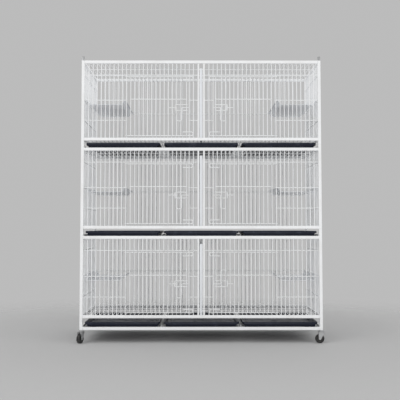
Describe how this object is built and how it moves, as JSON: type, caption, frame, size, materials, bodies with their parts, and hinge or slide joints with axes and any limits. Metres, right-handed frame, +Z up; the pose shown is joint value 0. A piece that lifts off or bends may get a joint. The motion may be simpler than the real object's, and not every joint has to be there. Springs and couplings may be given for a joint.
{
  "type": "stacked animal breeding cage",
  "caption": "Stack of white wire breeding cages on castors, with hinged wire doors, sliding bolts, rest platforms, dividers and slide-out trays.",
  "frame": {"origin": "on the floor, under the middle of the stack", "axes": "+X to the right seen from the doors, -Y out of the door side, +Z up"},
  "size_m": [1.2397, 0.5473, 1.427],
  "materials": {
    "white_steel": "white powder coat",
    "platform_white": "smooth bluish-white coated sheet",
    "tray_plastic": "dark navy moulded plastic",
    "zinc": "zinc plated",
    "castor_black": "hard black wheel"
  },
  "bodies": {
    "cage": {"base_frame": "white_steel", "stacking_pins": "zinc", "centre_guides": "white_steel", "tray_runners": "white_steel", "castor_stems": "zinc", "lower_frame": "white_steel", "lower_front_panel": "white_steel", "lower_rear_panel": "white_steel", "lower_side_panels": "white_steel", "lower_floor_grid": "white_steel", "lower_ceiling_grid": "white_steel", "lower_rest_platforms": "platform_white", "middle_frame": "white_steel", "middle_front_panel": "white_steel", "middle_rear_panel": "white_steel", "middle_side_panels": "white_steel", "middle_floor_grid": "white_steel", "middle_ceiling_grid": "white_steel", "middle_rest_platforms": "platform_white", "upper_frame": "white_steel", "upper_front_panel": "white_steel", "upper_rear_panel": "white_steel", "upper_side_panels": "white_steel", "upper_floor_grid": "white_steel", "upper_ceiling_grid": "white_steel", "upper_rest_platforms": "platform_white"},
    "lower_divider": {"lower_divider": "platform_white"},
    "lower_left_door": {"lower_left_door": "white_steel"},
    "lower_left_bolt": {"lower_left_bolt": "white_steel"},
    "lower_right_door": {"lower_right_door": "white_steel"},
    "lower_right_bolt": {"lower_right_bolt": "white_steel"},
    "lower_left_tray": {"lower_left_tray": "tray_plastic"},
    "lower_middle_tray": {"lower_middle_tray": "tray_plastic"},
    "lower_right_tray": {"lower_right_tray": "tray_plastic"},
    "middle_divider": {"middle_divider": "platform_white"},
    "middle_left_door": {"middle_left_door": "white_steel"},
    "middle_left_bolt": {"middle_left_bolt": "white_steel"},
    "middle_right_door": {"middle_right_door": "white_steel"},
    "middle_right_bolt": {"middle_right_bolt": "white_steel"},
    "middle_left_tray": {"middle_left_tray": "tray_plastic"},
    "middle_middle_tray": {"middle_middle_tray": "tray_plastic"},
    "middle_right_tray": {"middle_right_tray": "tray_plastic"},
    "upper_divider": {"upper_divider": "platform_white"},
    "upper_left_door": {"upper_left_door": "white_steel"},
    "upper_left_bolt": {"upper_left_bolt": "white_steel"},
    "upper_right_door": {"upper_right_door": "white_steel"},
    "upper_right_bolt": {"upper_right_bolt": "white_steel"},
    "upper_left_tray": {"upper_left_tray": "tray_plastic"},
    "upper_middle_tray": {"upper_middle_tray": "tray_plastic"},
    "upper_right_tray": {"upper_right_tray": "tray_plastic"},
    "front_left_castor_fork": {"front_left_castor_fork": "zinc"},
    "front_left_castor_wheel": {"front_left_castor_wheel": "castor_black"},
    "front_right_castor_fork": {"front_right_castor_fork": "zinc"},
    "front_right_castor_wheel": {"front_right_castor_wheel": "castor_black"},
    "rear_left_castor_fork": {"rear_left_castor_fork": "zinc"},
    "rear_left_castor_wheel": {"rear_left_castor_wheel": "castor_black"},
    "rear_right_castor_fork": {"rear_right_castor_fork": "zinc"},
    "rear_right_castor_wheel": {"rear_right_castor_wheel": "castor_black"}
  },
  "joints": [
    {"name": "lower_divider_slide", "type": "slide", "parent": "cage", "child": "lower_divider", "axis": [0, -1, 0], "range_m": [0, 0.45]},
    {"name": "lower_left_door_hinge", "type": "hinge", "parent": "cage", "child": "lower_left_door", "pos_m": [-0.375, -0.242, 0.297], "axis": [0, 0, -1], "range_deg": [0, 165]},
    {"name": "lower_left_bolt_slide", "type": "slide", "parent": "lower_left_door", "child": "lower_left_bolt", "axis": [1, 0, 0], "range_m": [0, 0.027]},
    {"name": "lower_right_door_hinge", "type": "hinge", "parent": "cage", "child": "lower_right_door", "pos_m": [0.375, -0.242, 0.297], "axis": [0, 0, 1], "range_deg": [0, 165]},
    {"name": "lower_right_bolt_slide", "type": "slide", "parent": "lower_right_door", "child": "lower_right_bolt", "axis": [-1, 0, 0], "range_m": [0, 0.027]},
    {"name": "lower_left_tray_slide", "type": "slide", "parent": "cage", "child": "lower_left_tray", "axis": [0, -1, 0], "range_m": [0, 0.44]},
    {"name": "lower_middle_tray_slide", "type": "slide", "parent": "cage", "child": "lower_middle_tray", "axis": [0, -1, 0], "range_m": [0, 0.44]},
    {"name": "lower_right_tray_slide", "type": "slide", "parent": "cage", "child": "lower_right_tray", "axis": [0, -1, 0], "range_m": [0, 0.44]},
    {"name": "middle_divider_slide", "type": "slide", "parent": "cage", "child": "middle_divider", "axis": [0, -1, 0], "range_m": [0, 0.45]},
    {"name": "middle_left_door_hinge", "type": "hinge", "parent": "cage", "child": "middle_left_door", "pos_m": [-0.375, -0.242, 0.737], "axis": [0, 0, -1], "range_deg": [0, 165]},
    {"name": "middle_left_bolt_slide", "type": "slide", "parent": "middle_left_door", "child": "middle_left_bolt", "axis": [1, 0, 0], "range_m": [0, 0.027]},
    {"name": "middle_right_door_hinge", "type": "hinge", "parent": "cage", "child": "middle_right_door", "pos_m": [0.375, -0.242, 0.737], "axis": [0, 0, 1], "range_deg": [0, 165]},
    {"name": "middle_right_bolt_slide", "type": "slide", "parent": "middle_right_door", "child": "middle_right_bolt", "axis": [-1, 0, 0], "range_m": [0, 0.027]},
    {"name": "middle_left_tray_slide", "type": "slide", "parent": "cage", "child": "middle_left_tray", "axis": [0, -1, 0], "range_m": [0, 0.44]},
    {"name": "middle_middle_tray_slide", "type": "slide", "parent": "cage", "child": "middle_middle_tray", "axis": [0, -1, 0], "range_m": [0, 0.44]},
    {"name": "middle_right_tray_slide", "type": "slide", "parent": "cage", "child": "middle_right_tray", "axis": [0, -1, 0], "range_m": [0, 0.44]},
    {"name": "upper_divider_slide", "type": "slide", "parent": "cage", "child": "upper_divider", "axis": [0, -1, 0], "range_m": [0, 0.45]},
    {"name": "upper_left_door_hinge", "type": "hinge", "parent": "cage", "child": "upper_left_door", "pos_m": [-0.375, -0.242, 1.177], "axis": [0, 0, -1], "range_deg": [0, 165]},
    {"name": "upper_left_bolt_slide", "type": "slide", "parent": "upper_left_door", "child": "upper_left_bolt", "axis": [1, 0, 0], "range_m": [0, 0.027]},
    {"name": "upper_right_door_hinge", "type": "hinge", "parent": "cage", "child": "upper_right_door", "pos_m": [0.375, -0.242, 1.177], "axis": [0, 0, 1], "range_deg": [0, 165]},
    {"name": "upper_right_bolt_slide", "type": "slide", "parent": "upper_right_door", "child": "upper_right_bolt", "axis": [-1, 0, 0], "range_m": [0, 0.027]},
    {"name": "upper_left_tray_slide", "type": "slide", "parent": "cage", "child": "upper_left_tray", "axis": [0, -1, 0], "range_m": [0, 0.44]},
    {"name": "upper_middle_tray_slide", "type": "slide", "parent": "cage", "child": "upper_middle_tray", "axis": [0, -1, 0], "range_m": [0, 0.44]},
    {"name": "upper_right_tray_slide", "type": "slide", "parent": "cage", "child": "upper_right_tray", "axis": [0, -1, 0], "range_m": [0, 0.44]},
    {"name": "front_left_castor_swivel", "type": "hinge", "parent": "cage", "child": "front_left_castor_fork", "pos_m": [-0.5925, -0.2425, 0.055], "axis": [0, 0, 1], "continuous": true},
    {"name": "front_left_castor_roll", "type": "hinge", "parent": "front_left_castor_fork", "child": "front_left_castor_wheel", "pos_m": [-0.59588, -0.24975, 0.0225], "axis": [0.9063, -0.4226, 0], "continuous": true},
    {"name": "front_right_castor_swivel", "type": "hinge", "parent": "cage", "child": "front_right_castor_fork", "pos_m": [0.5925, -0.2425, 0.055], "axis": [0, 0, 1], "continuous": true},
    {"name": "front_right_castor_roll", "type": "hinge", "parent": "front_right_castor_fork", "child": "front_right_castor_wheel", "pos_m": [0.5845, -0.2425, 0.0225], "axis": [0, -1, 0], "continuous": true},
    {"name": "rear_left_castor_swivel", "type": "hinge", "parent": "cage", "child": "rear_left_castor_fork", "pos_m": [-0.5925, 0.2425, 0.055], "axis": [0, 0, 1], "continuous": true},
    {"name": "rear_left_castor_roll", "type": "hinge", "parent": "rear_left_castor_fork", "child": "rear_left_castor_wheel", "pos_m": [-0.5965, 0.24943, 0.0225], "axis": [-0.866, -0.5, 0], "continuous": true},
    {"name": "rear_right_castor_swivel", "type": "hinge", "parent": "cage", "child": "rear_right_castor_fork", "pos_m": [0.5925, 0.2425, 0.055], "axis": [0, 0, 1], "continuous": true},
    {"name": "rear_right_castor_roll", "type": "hinge", "parent": "rear_right_castor_fork", "child": "rear_right_castor_wheel", "pos_m": [0.60002, 0.24524, 0.0225], "axis": [-0.342, 0.9397, 0], "continuous": true}
  ]
}
